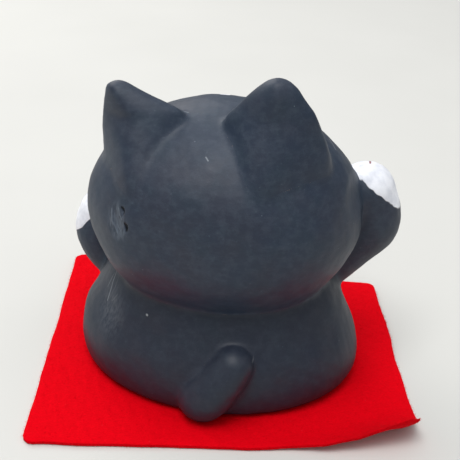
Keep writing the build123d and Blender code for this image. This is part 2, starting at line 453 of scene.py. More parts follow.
class Paint:
    """One finish. Its nodes all come from the method node."""

    def __init__(self, name, **uniform):
        self.material = bpy.data.materials.new(name)
        self.material.use_nodes = True
        self.tree = self.material.node_tree
        self.shader = self.tree.nodes["Principled BSDF"]
        for socket, value in uniform.items():
            self.shader.inputs[socket.replace("_", " ")].default_value = value

    def node(self, kind, inputs, out=0, **settings):
        made = self.tree.nodes.new("ShaderNode" + kind)
        for setting, value in settings.items():
            setattr(made, setting, value)
        for socket, value in inputs.items():
            if isinstance(value, Value):
                self.tree.links.new(value.socket, made.inputs[socket])
            else:
                made.inputs[socket].default_value = value
        return Value(self, made.outputs[out])

    def math(self, operation, *values, **settings):
        return self.node("Math", dict(enumerate(values)), operation=operation, **settings)

    def vector(self, operation, *values, out=0):
        return self.node("VectorMath", dict(enumerate(values)), out=out, operation=operation)

    def mix(self, factor, first, second):
        """From the first colour to the second."""
        return self.node("Mix", {0: factor, 6: first, 7: second}, out=2, data_type="RGBA")

    def ramp(self, value, given, result):
        """Carries a value from one range to another, and stops at its ends."""
        ends = {"From Min": given[0], "From Max": given[1], "To Min": result[0], "To Max": result[1]}
        return self.node("MapRange", {"Value": value, **ends})

    def milk(self, point, size=2.5):
        """White paint, a little thinner here and there."""
        return self.mix(self.noise(point, size, 3).past(0.55, 0.2), WHITE, WHITE_THIN)

    def point(self, place, stretch=(1, 1, 1)):
        """Where the surface is in a frame, in millimetres, drawn out along its axes."""
        here = self.node("TexCoord", {}, out="Object")
        settings = {
            "Vector": here,
            "Location": place.to_translation() * MM,
            "Rotation": place.to_euler(),
            "Scale": [MM * part for part in stretch],
        }
        return self.node("Mapping", settings, vector_type="TEXTURE")

    def axes(self, point):
        return [self.node("SeparateXYZ", {0: point}, out=axis) for axis in range(3)]

    def noise(self, point, size, detail, rough=0.5):
        """Uneven from 0 to 1, in patches about a size across."""
        inputs = {"Vector": point, "Scale": 1 / size, "Detail": detail, "Roughness": rough}
        return self.node("TexNoise", inputs)

    def specks(self, point, spacing, size, share):
        """Round specks about a spacing apart, of which a share is there."""
        cells = self.node("TexVoronoi", {"Vector": point, "Scale": 1 / spacing})
        which = self.node("TexVoronoi", {"Vector": point, "Scale": 1 / spacing}, out="Color")
        chance = self.node("SeparateColor", {0: which}, out=0)
        near = cells.within(size / spacing, 0.3 * size / spacing)
        return near * chance.within(share, 0.05 * share)

    def stroke(self, point, path, width, soft):
        """A brush stroke or scratch along a path of points."""
        mask = 0.0
        for start, end in zip(path, path[1:]):
            start, end = Vector(start), Vector(end)
            run = end - start
            offset = self.vector("SUBTRACT", point, start)
            along = self.vector("DOT_PRODUCT", offset, run / run.length_squared, out="Value")
            along = self.math("ADD", along, 0.0, use_clamp=True)
            nearest = self.node("VectorMath", {0: run, "Scale": along}, operation="SCALE")
            away = self.vector("SUBTRACT", offset, nearest)
            mask = self.vector("LENGTH", away, out="Value").within(width, soft) | mask
        return mask

    def strokes(self, point, marks):
        """Marks together: a path, its half width, how soft it is and how strong, for each."""
        mask = 0.0
        for path, width, soft, strength in marks:
            mask = self.stroke(point, path, width, soft) * strength | mask
        return mask

    def blot(self, point, centre, size, soft):
        """An oval patch round a point: its three half sizes, and how soft its edge is."""
        offset = self.vector("SUBTRACT", point, Vector(centre))
        scaled = self.vector("DIVIDE", offset, Vector(size))
        return self.vector("LENGTH", scaled, out="Value").within(1, soft)

    def coat(self, colour, roughness, height):
        """Lays the finish on. The height is in millimetres."""
        bump = self.node("Bump", {"Height": height, "Distance": MM, "Strength": 1.0}, out="Normal")
        for socket, value in (("Base Color", colour), ("Roughness", roughness), ("Normal", bump)):
            self.tree.links.new(value.socket, self.shader.inputs[socket])
        return self.material


def ink(red, green, blue):
    """A colour from its screen values, 0 to 255."""
    colour = []
    for part in (red / 255, green / 255, blue / 255):
        colour.append(part / 12.92 if part <= 0.04045 else ((part + 0.055) / 1.055) ** 2.4)
    return colour + [1]


BLACK = ink(37, 49, 66)
BLACK_WARM = ink(43, 49, 63)
BLACK_GREEN = ink(40, 54, 67)
# painted shade for the body, which lies under the head
BODY_SHADE = ink(24, 27, 38)
DUST = ink(112, 122, 134)
WHITE = ink(240, 241, 246)
WHITE_THIN = ink(214, 216, 224)
CLAW_RED = ink(120, 22, 26)
INNER_PINK = ink(222, 120, 118)
GOLD = ink(232, 178, 56)
OUTLINE = ink(24, 22, 26)
# painted shade in the pits of the knock
PIT_SHADE = ink(12, 14, 18)
SCRATCH = ink(176, 182, 186)
NICK = ink(170, 176, 182)
WORN_WHITE = ink(150, 154, 164)
INNER_DARK = ink(204, 98, 98)
NOSE_PINK = ink(206, 84, 86)
GOLD_LIGHT = ink(246, 214, 96)
COLLAR_RED = ink(196, 22, 26)
COLLAR_DARK = ink(164, 14, 20)
COLLAR_PALE = ink(226, 70, 62)
BELL_GOLD = ink(226, 176, 74)
BELL_DARK = ink(198, 142, 48)
# painted shade in the bell's slot and holes
BELL_SHADE = ink(56, 38, 20)
WOOL_RED = ink(228, 0, 20)
# painted shade between the felt's fibres
WOOL_SHADE = ink(203, 0, 13)
WOOL_DULL = ink(208, 0, 15)
WOOL_PALE = ink(255, 60, 70)
WOOL_SHEEN = ink(255, 20, 40)
FLOOR_PALE = ink(207, 206, 201)
FLOOR_DULL = ink(201, 200, 195)
GROG = ink(120, 84, 62)  # the coarse grains in fired clay
CLAY = ink(203, 176, 150)
CLAY_DARK = ink(172, 138, 112)


# ---- Marks: a path, its half width, how soft it is and how strong
KNOCK_SCRAPES = [
    ([(17.6, 16.2, 4.6), (17.3, 16.6, 2.4), (16.2, 17.4, 0.6)], 0.16, 0.16, 0.4),
    ([(15.8, 17.0, 5.4), (15.6, 17.3, 4.2), (14.9, 17.7, 3.6)], 0.1, 0.1, 0.45),
    ([(16.6, 17.0, 3.4), (16.3, 17.2, 2.2), (15.4, 17.8, 1.2)], 0.1, 0.12, 0.35),
]
KNOCK_PITS = [
    ([(15.1, 17.3, 5.7), (14.5, 17.6, 4.8)], 0.2, 0.1, 1),
    ([(14.2, 18.2, 3.1), (13.9, 18.4, 1.9)], 0.22, 0.1, 1),
]
HEAD_NICKS = [
    ([(19.6, 13.4, -6.6), (18.8, 13.9, -6.9)], 0.07, 0.07, 1),
    ([(-19.1, -2.0, 14.9), (-19.6, 0.6, 13.4)], 0.1, 0.1, 1),
    ([(0.6, 14.5, 15.9), (0.1, 14.7, 15.2)], 0.12, 0.1, 1),
    ([(6.2, 4.9, 20.1), (7.6, 4.6, 19.8)], 0.16, 0.2, 1),
]
EAR_NICKS = [
    ([(-12.8, 15.0, 12.6), (-13.1, 15.0, 11.6)], 0.2, 0.2, 1),
    ([(-7.0, 14.5, 12.5), (-7.3, 14.8, 11.2)], 0.12, 0.12, 1),
]
FLATTEN = (1, 8, 1)  # scratches on the body lie in frames drawn out along Y
FLANK_TURN = -51.6  # turns the cat's back to its left flank, in degrees
FLANK_SCRATCHES = [
    ([(5.0, 2.65, 22.4), (4.5, 2.8, 19.2), (3.8, 2.95, 15.6)], 0.08, 0.08, 0.8),
    ([(3.2, 2.7, 22.0), (3.0, 2.8, 19.0), (3.3, 2.9, 17.4)], 0.06, 0.08, 0.5),
    ([(5.4, 2.7, 20.6), (5.9, 2.8, 17.4)], 0.05, 0.07, 0.5),
    ([(1.2, 2.8, 18.2), (2.1, 2.85, 16.4)], 0.05, 0.07, 0.35),
]
BACK_SCRATCHES = [
    ([(-10.4, 2.5, 15.6), (-10.7, 2.6, 13.4)], 0.06, 0.08, 0.4),
    ([(-6.6, 2.9, 5.4), (-6.2, 3.0, 4.2)], 0.08, 0.08, 0.6),
]
BALL = 24.0  # radius of the ball that marks on the head are laid on, to follow its skin


def on_ball(marks):
    """Marks whose paths are carried out or in to the ball."""
    return [([Vector(spot).normalized() * BALL for spot in path], *rest) for path, *rest in marks]


# ---- Finishes, with the painted face and where its parts are: out from the middle, and up
EYE = (9.6, 1.6)
SPARK = (-0.7, 1.2)  # from the middle of the eye
CHEEK = (8.5, -9.5)
LIP = (2.2, -6.4)
LIP_RADIUS = 2.2
WHISKER_ROOT = (9, -8.2)
WHISKER_RISES = (-0.14, 0.02, 0.2)
BIB_HEIGHT = 14


def black_coat(paint, place):
    """Thin matt black over clay: its colour, and the height of its brush marks and grain."""
    here = paint.point(place)
    drawn = paint.point(place, (3.5, 3.5, 1.2))
    cloud = paint.noise(here, 15, 3)
    patch = paint.noise(here, 4.5, 4, 0.6)
    streak = paint.noise(drawn, 0.5, 3, 0.6)
    mottle = paint.noise(here, 1.6, 4, 0.65)
    grain = paint.noise(here, 0.2, 3, 0.65)
    colour = paint.mix(cloud.past(0.5, 0.16), BLACK, BLACK_WARM)
    colour = paint.mix(patch.past(0.56, 0.14) * 0.5, colour, BLACK_GREEN)
    colour = paint.mix(streak.past(0.6, 0.16) * 0.05, colour, DUST)
    colour = paint.mix(mottle.past(0.55, 0.14) * 0.075, colour, DUST)
    colour = paint.mix(grain.within(0.4, 0.1) * 0.15, colour, OUTLINE)
    dust = paint.specks(here, 2.6, 0.11, 0.3) | paint.specks(here, 7.5, 0.17, 0.35) * 0.8
    scuffed = paint.noise(here, 0.8, 3, 0.6).past(0.72, 0.04) * patch.past(0.5, 0.1)
    dust = dust | scuffed * 0.35
    colour = paint.mix(dust * 0.6, colour, DUST)
    height = cloud * 0.05 + patch * 0.07 + mottle * 0.035 + streak * 0.006 + grain * 0.01 + dust * 0.02
    uneven = patch * 0.5 + mottle * 0.5
    return here, colour, height, paint.ramp(uneven, (0.3, 0.7), (0.44, 0.58))


def matt(name):
    """The start of every black finish."""
    return Paint(name, Specular_IOR_Level=0.34)


def head_paint():
    """The head: scratches and a knock at the back, white on the face, eyes, nose and whiskers."""
    paint = matt("head_paint")
    here, colour, height, roughness = black_coat(paint, HEAD)
    x, y, z = paint.axes(here)
    wobble = (paint.noise(here, 3.0, 2) - 0.5) * 1.1
    front = y.within(-3, 0.5)
    side = abs(x)
    outward = paint.vector("NORMALIZE", here)
    ball = paint.node("VectorMath", {0: outward, "Scale": BALL}, operation="SCALE")

    # the knock: a chipped hollow with pale scrapes and two pits, darkened with painted shade
    scuff = paint.noise(paint.point(HEAD, (0.5, 1, 2.2)), 0.9, 3, 0.6).past(0.5, 0.12)
    hollow = paint.blot(here, (16.2, 17.4, 2.6), (2.3, 4, 3.4), 0.3)
    colour = paint.mix(hollow * scuff * 0.35, colour, DUST)
    pale = paint.strokes(ball, on_ball(KNOCK_SCRAPES))
    colour = paint.mix(pale, colour, DUST)
    pits = paint.strokes(ball, on_ball(KNOCK_PITS))
    # painted shade darkens the two pits
    colour = paint.mix(pits * 0.85, colour, PIT_SHADE)
    nicks = paint.strokes(ball, on_ball(HEAD_NICKS))
    colour = paint.mix(nicks * 0.45, colour, NICK)
    height = height - pits * 0.35 + pale * 0.12

    # the brush that did the right paw touched the head beside it
    touched = paint.blot(here, (-25.0, -10.2, 6.6), (2.0, 3.2, 2.2), 0.08)
    colour = paint.mix(touched, colour, WHITE)

    # white: a blaze that narrows up to the crown, and the muzzle with its cheeks
    blaze_out = abs(x - 1.4 * z.past(8, 10)) - paint.ramp(z, (-4, 21), (4.6, 0.9))
    blaze = (blaze_out + wobble * 0.5).within(0, 0.15) & y.within(-4.7, 0.2) & z.past(-6, 1)
    out, up = side - CHEEK[0], z - CHEEK[1]
    cheeks = (out * out * 0.011 + up * up * 0.0145 + wobble * 0.1).within(1, 0.03)
    white = (blaze | cheeks) & front
    colour = paint.mix(white, colour, paint.milk(here))

    # eyes: gold with a dark rim, a tall pupil and a light in it
    out, up = side - EYE[0], z - EYE[1]
    eye = (out * out * 0.075 + up * up * 0.11 + out * up * 0.03) ** 0.5
    colour = paint.mix(eye.within(1.12, 0.03) & front, colour, OUTLINE)
    colour = paint.mix(eye.within(0.96, 0.02) & front, colour, paint.mix(eye, GOLD_LIGHT, GOLD))
    pupil = (out * out * 0.3 + up * up * 0.16).within(1, 0.06)
    colour = paint.mix(pupil & front, colour, OUTLINE)
    spark_out, spark_up = out - SPARK[0], up - SPARK[1]
    spark = (spark_out * spark_out + spark_up * spark_up).within(0.3, 0.08)
    colour = paint.mix(spark & front, colour, WHITE)

    # nose, mouth and whiskers
    nose = paint.blot(here, NOSE_AT, (1.9, 2.4, 1.35), 0.06)
    colour = paint.mix(nose, colour, NOSE_PINK)
    out, up = side - LIP[0], z - LIP[1]
    smile = abs((out * out + up * up) ** 0.5 - LIP_RADIUS).within(0.22, 0.08) & up.within(0, 0.2)
    smile = smile | (side.within(0.22, 0.08) & up.past(-0.2, 0.2) & up.within(2.2, 0.2))
    colour = paint.mix(smile & y.within(-15, 0.5), colour, OUTLINE)
    whiskers = 0.0
    for rise in WHISKER_RISES:
        line = z - WHISKER_ROOT[1] - (side - WHISKER_ROOT[0]) * rise - rise * 12
        long = side.past(9.5, 0.3) & side.within(19 - abs(rise) * 10, 0.6)
        whiskers = (abs(line).within(0.16, 0.08) & long & front) | whiskers
    colour = paint.mix(whiskers, colour, OUTLINE)
    height = height + (white | nose) * 0.06 + (eye.within(1.1, 0.04) & front) * 0.04
    return paint.coat(colour, roughness, height)


def body_paint():
    """The body: darkened all over with painted shade, a long scratch and rubbed places at the back,
    and a white bib at the front.
    """
    paint = matt("body_paint")
    here, colour, height, roughness = black_coat(paint, CAT)
    # painted shade: the whole body, and the tail with it, is darkened towards a shaded black
    colour = paint.mix(0.45, colour, BODY_SHADE)
    x, y, z = paint.axes(here)
    wobble = (paint.noise(here, 3.5, 2) - 0.5) * 1.2
    flank = paint.point(CAT @ turned(FLANK_TURN, "Z"), FLATTEN)
    scratch = paint.strokes(flank, FLANK_SCRATCHES)
    scratch = scratch | paint.strokes(paint.point(CAT, FLATTEN), BACK_SCRATCHES)
    rubbed = paint.noise(paint.point(CAT, (0.6, 0.6, 3.2)), 0.9, 3, 0.6).past(0.5, 0.2)
    rubbed = rubbed * paint.blot(here, (19, 13, 14.5), (3.2, 5, 4.4), 0.7)
    crumb = paint.blot(here, (10.7, 17.4, 17.7), (0.26, 0.6, 0.24), 0.2)
    colour = paint.mix(scratch * 0.85 | rubbed * 0.1 | crumb * 0.6, colour, SCRATCH)
    up = z - BIB_HEIGHT
    bib = (x * x * 0.0125 + up * up * 0.0085 + wobble * 0.12).within(1, 0.03) & y.within(-6, 0.5)
    colour = paint.mix(bib, colour, paint.milk(here))
    height = height + bib * 0.06 + crumb * 0.2 + rubbed * 0.02
    return paint.coat(colour, roughness, height)


def ear_paint():
    """The ears: black with a few nicks, and pink inside the hollow at the front."""
    paint = matt("ear_paint")
    here, colour, height, roughness = black_coat(paint, EARS)
    x, y, z = paint.axes(here)
    colour = paint.mix(paint.strokes(here, EAR_NICKS) * 0.35, colour, DUST)
    middle = 12.2 + (z - 14) * 0.22
    out = abs(abs(x) - middle) - paint.ramp(z, (15.5, 26), (5.2, 0.2))
    pink = out.within(0, 0.35) & y.within(5.8, 0.5) & z.past(15.2, 0.5)
    colour = paint.mix(pink, colour, paint.mix(paint.noise(here, 2, 2), INNER_PINK, INNER_DARK))
    return paint.coat(colour, roughness, height + pink * 0.04)


def limb_paint(name, slope, edge, claws, daub):
    """A paw: white above a wavy edge that slopes across it and in one daub, with painted claws."""
    paint = matt(name)
    here, colour, height, roughness = black_coat(paint, CAT)
    x, y, z = paint.axes(here)
    wobble = (paint.noise(here, 3.2, 2, 0.4) - 0.5) * 2.2
    level = z - x * slope + wobble
    white = level.past(edge, 0.12) | paint.blot(here, daub, (3.0, 6.0, 2.8), 0.06)
    thin = paint.noise(here, 1.6, 3, 0.6).past(0.6, 0.12) * level.within(edge + 0.7, 0.6)
    colour = paint.mix(white, colour, paint.mix(thin * 0.3, paint.milk(here, 2.2), WORN_WHITE))
    marks = paint.strokes(here, [(path, 0.2, 0.12, 1) for path in claws])
    colour = paint.mix(marks * 0.9, colour, CLAW_RED)
    height = height + white * 0.08 + marks * 0.03
    return paint.coat(colour, roughness, height)


def plain_clay():
    """Bare fired clay, inside and underneath."""
    paint = Paint("bare_clay", Specular_IOR_Level=0.3)
    here = paint.point(CAT)
    patch = paint.noise(here, 5, 4, 0.6)
    grain = paint.noise(here, 0.3, 3, 0.7)
    colour = paint.mix(patch, CLAY, CLAY_DARK)
    colour = paint.mix(paint.specks(here, 1.1, 0.12, 0.4) * 0.6, colour, GROG)
    return paint.coat(colour, paint.ramp(patch, (0, 1), (0.8, 0.95)), patch * 0.1 + grain * 0.05)


def collar_paint():
    """Red paint brushed along the collar."""
    paint = Paint("collar_paint", Specular_IOR_Level=0.45)
    here = paint.point(CAT)
    patch = paint.noise(here, 2.5, 3)
    streak = paint.noise(paint.point(CAT, (3, 3, 1)), 0.5, 3, 0.6)
    colour = paint.mix(patch, COLLAR_RED, COLLAR_DARK)
    colour = paint.mix(streak.past(0.62, 0.1) * 0.25, colour, COLLAR_PALE)
    return paint.coat(colour, paint.ramp(patch, (0, 1), (0.45, 0.62)), streak * 0.02 + patch * 0.05)


def bell_paint():
    """Gold paint, with painted shade in the slot and its holes."""
    paint = Paint("bell_paint", Metallic=0.75)
    here = paint.point(CAT @ at(*BELL_AT))
    y, z = paint.axes(here)[1:]
    patch = paint.noise(here, 1.6, 3)
    grain = paint.noise(here, 0.16, 3, 0.6)
    colour = paint.mix(patch, BELL_GOLD, BELL_DARK)
    # painted shade in the slot and its holes
    deep = abs(y).within(0.42, 0.06) & z.within(-1.2, 0.3)
    for out in (BELL_HOLE_OUT, -BELL_HOLE_OUT):
        deep = deep | paint.blot(here, (out, 0, -2.4), (0.9, 0.9, 0.9), 0.1)
    colour = paint.mix(deep, colour, BELL_SHADE)
    return paint.coat(colour, paint.ramp(grain, (0, 1), (0.3, 0.48)), grain * 0.03 + patch * 0.04)


def felt_paint(name, flecks):
    """Pressed red wool: tangled fibres, with painted shade where they lie deep, and a share of pale
    flecks.
    """
    sheen = {"Sheen_Weight": 0.05, "Sheen_Roughness": 0.45, "Sheen_Tint": WOOL_SHEEN}
    paint = Paint(name, Specular_IOR_Level=0.04, **sheen)
    here = paint.point(Matrix.Identity(4))
    swirl = paint.noise(here, 2.4, 3)
    push = paint.node("TexNoise", {"Vector": here, "Scale": 0.7}, out="Color")
    bent = paint.vector("ADD", here, push)
    cross = paint.noise(paint.node("Mapping", {"Vector": bent, "Scale": (1, 7, 1)}), 0.55, 3, 0.6)
    turn = {"Vector": bent, "Rotation": (0, 0, 1.1), "Scale": (1, 7, 1)}
    along = paint.noise(paint.node("Mapping", turn), 0.6, 3, 0.6)
    tangle = cross | along
    patch = paint.noise(here, 9, 3)
    # painted shade: darker where the tangle lies low, as its bump does
    colour = paint.mix(tangle.past(0.55, 0.14), WOOL_SHADE, WOOL_RED)
    colour = paint.mix(patch.past(0.5, 0.2) * 0.35, colour, WOOL_DULL)
    colour = paint.mix(paint.specks(here, 1.9, 0.1, 0.3) * 0.35 * flecks, colour, WOOL_PALE)
    return paint.coat(colour, paint.ramp(tangle, (0, 1), (0.82, 0.98)), tangle * 0.05 + swirl * 0.08)


bare_clay = plain_clay()
black_head = head_paint()
black_body = body_paint()
black_ears = ear_paint()
RIGHT_CLAWS = [
    [(-27.1, -7.9, 43.6), (-26.9, -11.4, 42.6), (-26.7, -13.2, 40.8)],
    [(-30.2, -9.6, 42.5), (-30.0, -12.2, 41.2), (-29.6, -13.2, 39.4)],
    [(-24.2, -8.6, 43.2), (-24, -11.8, 41.8), (-24, -13.2, 39.8)],
]
LEFT_CLAWS = [
    [(25.4, -9.5, 30.6), (25.2, -11.6, 29.2), (25, -12.9, 27.4)],
    [(27.8, -9.5, 30.7), (27.8, -11.8, 29.2), (27.8, -13.2, 27.2)],
    [(30.2, -9.5, 30), (30.4, -11.8, 28.4), (30.6, -12.8, 26.4)],
]
right_white = limb_paint("right_paw_paint", 0.83, 63.7, RIGHT_CLAWS, (-25.4, -9.0, 42.8))
left_white = limb_paint("left_paw_paint", -1.03, 55.4, LEFT_CLAWS, (25.4, -12.0, 30.0))
foot_claws = []
for side in (-1, 1):
    for spread in (-2.6, 0, 2.6):
        out = side * FOOT_AT[0] + spread
        start = (out, -28.0 + abs(spread) * 0.3, 4)
        end = (out * 1.01, -28.9 + abs(spread) * 0.4, 1.6)
        foot_claws.append([start, end])
foot_white = limb_paint("foot_paint", 0.0, -4.0, foot_claws, FOOT_AT)
FINISHES = {
    "left_ear": black_ears,
    "right_ear": black_ears,
    "right_paw": right_white,
    "left_paw": left_white,
    "tail": black_body,
    "left_foot": foot_white,
    "right_foot": foot_white,
    "head_front_shell": black_head,
    "head_back_shell": black_head,
    "body_front_shell": black_body,
    "body_back_shell": black_body,
}

# ---- The whole skin
MELT_CLEAR = 0.6  # the skin this near the head or body is smoothed in full
MELT_REACH = 2.6  # and less and less over this distance more
MELT_STEPS = 10
MELT = 4.6  # how much it is smoothed, whatever the grain


def points_of(mesh):
    points = np.empty(len(mesh.vertices) * 3, np.float32)
    mesh.vertices.foreach_get("co", points)
    return points.reshape(-1, 3).astype(float)


def local(points, place):
    """The points in a frame."""
    return (points - np.array(place.to_translation())) @ np.array(place.to_3x3())


FAR_OFF = 100  # added above the body, where only the head counts


def off_core(points):
    """How far each point stands off the head or the body, whichever is nearer."""
    by_head = local(points, HEAD)
    width, depth, above, below = HEAD_SIZE
    size = np.tile([width, depth, above], (len(points), 1))
    size[by_head[:, 2] <= 0, 2] = below
    out = np.linalg.norm(by_head / size, axis=1)
    off_head = np.linalg.norm(by_head, axis=1) * (1 - 1 / out)
    by_body = local(points, CAT)
    half_width = np.interp(by_body[:, 2], *zip(*BODY_RINGS))
    out = np.hypot(by_body[:, 0] / half_width, by_body[:, 1] / half_width / BODY_DEPTH_RATIO)
    off_body = np.hypot(by_body[:, 0], by_body[:, 1]) * (1 - 1 / out)
    off_body += FAR_OFF * (by_body[:, 2] > BODY_RINGS[-1][0])
    return np.minimum(np.abs(off_head), np.abs(off_body))


def soften(thing, turns):
    """Smooths the skin near the head and the body, so that ears and tail grow out of them."""
    closeness = 1 - np.clip((off_core(points_of(thing.data)) - MELT_CLEAR) / MELT_REACH, 0, 1)
    near = thing.vertex_groups.new(name="near")
    for step in range(1, MELT_STEPS + 1):
        chosen = np.flatnonzero(np.round(MELT_STEPS * closeness) == step)
        near.add(chosen.tolist(), step / MELT_STEPS, "REPLACE")
    modify(thing, "SMOOTH", factor=0.5, iterations=turns, vertex_group="near")
    thing.vertex_groups.clear()


def tool_of(*makers):
    """A form to cut with, which leaves bare clay where it cuts."""
    return model("tool", *makers, finish=bare_clay)


skin = model(
    "skin",
    egg(HEAD, HEAD_SIZE),
    body_form(),
    *[form(0.0) for form in EXTRAS.values()],
    *[egg(HEAD @ at(side * PAD_AT[0], *PAD_AT[1:]), PAD_SIZE) for side in (-1, 1)],
    egg(HEAD @ at(*NOSE_AT), NOSE_SIZE),
)
knead(skin, GRAIN, 8)
soften(skin, round(MELT / GRAIN**2))
skin.data.materials.append(black_body)
below = tool_of(block(CAT @ at(0, 0, -15), (90, 90, 30)))
cut(skin, below)
whole_cat = copy_of(skin, "whole_cat")

# ---- Cut into its pieces
pieces = {}
for name, form in EXTRAS.items():
    tool = knead(model("tool", form(0.9)), 0.7, 2)
    tool.data.materials.append(bare_clay)
    for core in (tool_of(egg(HEAD, HEAD_SIZE, 0.3)), tool_of(body_form(0.3))):
        cut(tool, core)
        throw_away(core)
    pieces[name] = cut(copy_of(skin, name), tool, "INTERSECT")
    cut(skin, tool)
    throw_away(tool)

head_side = tool_of(egg(HEAD, HEAD_SIZE, 0.35))
cut(head_side, tool_of(block(CAT @ at(0, 0, 56), (90, 90, 60))), "UNION")
head = cut(copy_of(skin, "head"), head_side, "INTERSECT")
body = cut(skin, head_side)
cut(head, tool_of(egg(HEAD, HEAD_SIZE, -WALL)))
cut(head, tool_of(stack(HEAD, [(0, 0, z, NECK_BORE, NECK_BORE * BODY_DEPTH_RATIO) for z in (-44, 0)])))
cut(body, tool_of(body_form(-WALL)))
cut(body, tool_of(stack(CAT, [(0, 0, z, VENT_RADIUS, VENT_RADIUS) for z in (-5, 6)])))
for whole, seam, front, back in (
    (head, HEAD_AT.y, "head_front_shell", "head_back_shell"),
    (body, 0, "body_front_shell", "body_back_shell"),
):
    behind = tool_of(block(CAT @ at(0, 30 + seam, 40), (120, 60, 150)))
    pieces[back] = cut(copy_of(whole, back), behind, "INTERSECT")
    pieces[front] = cut(copy_of(whole, front), behind)

collar = knead(model("collar", collar_form()), 0.24, 4)
bell = model("bell", egg(CAT @ at(*BELL_AT), [BELL_RADIUS] * 4), bell_band)
knead(bell, 0.5 * GRAIN, 2)
slot = model("slot", *bell_slot())
for name, piece, finish, tools in (
    ("collar", collar, collar_paint(), [whole_cat]),
    ("bell", bell, bell_paint(), [slot, whole_cat, collar]),
):
    piece.data.materials.append(finish)
    for tool in tools:
        cut(piece, tool)
    pieces[name] = piece
    FINISHES[name] = finish

# ---- The marks of making and handling, as a push that depends only on the place


def waves(points, length, seed):
    """A smooth unevenness from about -1 to 1, in swells about a length across."""
    draw = np.random.default_rng(seed)
    total = np.zeros(len(points))
    for direction in draw.normal(size=(9, 3)):
        direction *= 2 * math.pi / length / np.linalg.norm(direction) * draw.uniform(0.6, 1.3)
        total += np.sin(points @ direction + draw.uniform(0, 6.28))
    return total / 3


def press(points, place, centre, reach, push):
    """Pushes the points round a centre, as a thumb or a tool does: reach is how far it is felt."""
    off = (local(points, place) - np.array(centre)) / np.array(reach)
    felt = np.clip(1 - (off**2).sum(1), 0, 1) ** 2
    return felt[:, None] * (np.array(place.to_3x3()) @ np.array(push))


PRESSES = [
    (HEAD, (-19, 6, 11), (11, 10, 11), (-0.5, 0.15, 0.35)),  # a swelling below the right ear
    (HEAD, (-25.4, 2.5, 6.2), (4, 7, 5), (0.75, 0, -0.1)),  # a thumb's dent above the right paw
    (HEAD, (16.2, 17.4, 2.6), (2.6, 4, 4), (-0.25, -0.3, 0)),  # the knock and its pits
    (HEAD, (14.8, 17.5, 5.2), (0.6, 2, 1.0), (-0.3, -0.5, 0)),
    (HEAD, (14.0, 18.4, 2.5), (0.6, 2, 1.1), (-0.3, -0.55, 0)),
    (HEAD, (17.3, 16.6, 2.6), (0.7, 2, 2.2), (0.12, 0.16, 0)),
    (EARS, (13.4, 3.4, 20.6), (5.2, 5.6, 6.6), (0, 2.6, -0.4)),  # the hollows of the ears
    (EARS, (-13.4, 3.4, 20.6), (5.6, 5.6, 6.6), (0, 2.6, -0.4)),
    (HEAD, (9.6, -20, 1.6), (6, 6, 5), (0, 0.5, 0)),  # the sockets of the eyes
    (HEAD, (-9.6, -20, 1.6), (6, 6, 5), (0, 0.5, 0)),
]
TOE_GROOVES = [
    (-25.6, -14.2, 39.2),
    (-28.4, -14.2, 39.2),
    (26.4, -13.6, 27.2),
    (29.2, -13.2, 27.2),
    (-14, -29, 1.6),
    (-11, -29.2, 1.6),
    (14, -29, 1.6),
    (11, -29.2, 1.6),
]
PRESSES += [(CAT, groove, (0.8, 3.2, 3), (0, 0.8, 0)) for groove in TOE_GROOVES]
SWELLS = [(0.16, 17, 4), (0.07, 7, 5), (0.018, 2.6, 6)]  # each its height, its length and its seed


def weathered(points):
    """The skin of the cat, uneven and pressed."""
    away = local(points, CAT) - np.array([0, 1, 0])
    away[:, 2] -= np.clip(away[:, 2], 10, HEAD_AT.z)
    away = away @ np.array(CAT.to_3x3()).T
    away /= np.linalg.norm(away, axis=1)[:, None]
    swell = sum(height * waves(points, length, seed) for height, length, seed in SWELLS)
    grounded = np.clip(local(points, CAT)[:, 2] / 3, 0, 1)
    moved = points + away * (swell * grounded)[:, None]
    for place, centre, reach, push in PRESSES:
        moved += press(points, place, centre, reach, push)
    return moved


def set_points(mesh, points):
    mesh.vertices.foreach_set("co", points.astype(np.float32).ravel())
    mesh.update()


for name, piece in pieces.items():
    mesh = piece.data
    mesh.materials[0] = FINISHES[name]
    set_points(mesh, weathered(points_of(mesh)))

# ---- The felt mat
MAT_SIZE = MAT_HIGH - MAT_LOW
SHORT_SIDE = 59.6  # of the mat, along the cat's right; the edge in front of it is cut aslant
CORNER = 2.2
SNIP = 1.8
CURL_LINE = (Vector((-5.8, 33.1)), Vector((-37.3, 19.1)))  # where the near corner starts to lift
CURL = 6.4
CURL_REACH = 12.8
FAR_LIFT = 1.0  # of the far corner: where its rise starts, its way and its reach
FAR_START = (26, -18)
FAR_WAY = (0.6, -0.8)
FAR_REACH = 16
WEAVE = 0.42


def mat_corners():
    """Where the mat's sides meet: near left, near right, far right and far left."""
    right, left = MAT_LOW.x, MAT_HIGH.x
    near = MAT_HIGH.y
    corners = [(left, near), (right, near), (right, near - SHORT_SIDE), (left, MAT_LOW.y)]
    return [Vector(corner) for corner in corners]


def outline_cuts():
    """Points and outward directions of the straight cuts that leave the mat's outline."""
    corners = mat_corners()
    middle = sum(corners, Vector((0, 0))) / 4
    sides = []
    for start, end in zip(corners, corners[1:] + corners[:1]):
        across = (end - start).orthogonal().normalized()
        sides.append(across if across.dot(start - middle) > 0 else -across)
    for number, corner in enumerate(corners):
        before, after = sides[number - 1], sides[number]
        yield corner, after
        if number == 1:
            between = (before + after).normalized()
            yield corner - between * SNIP * math.sqrt(0.5), between
            continue
        centre = corner - (before + after) * CORNER / (1 + before.dot(after))
        for share in (0.2, 0.5, 0.8):
            between = (before * (1 - share) + after * share).normalized()
            yield centre + between * CORNER, between


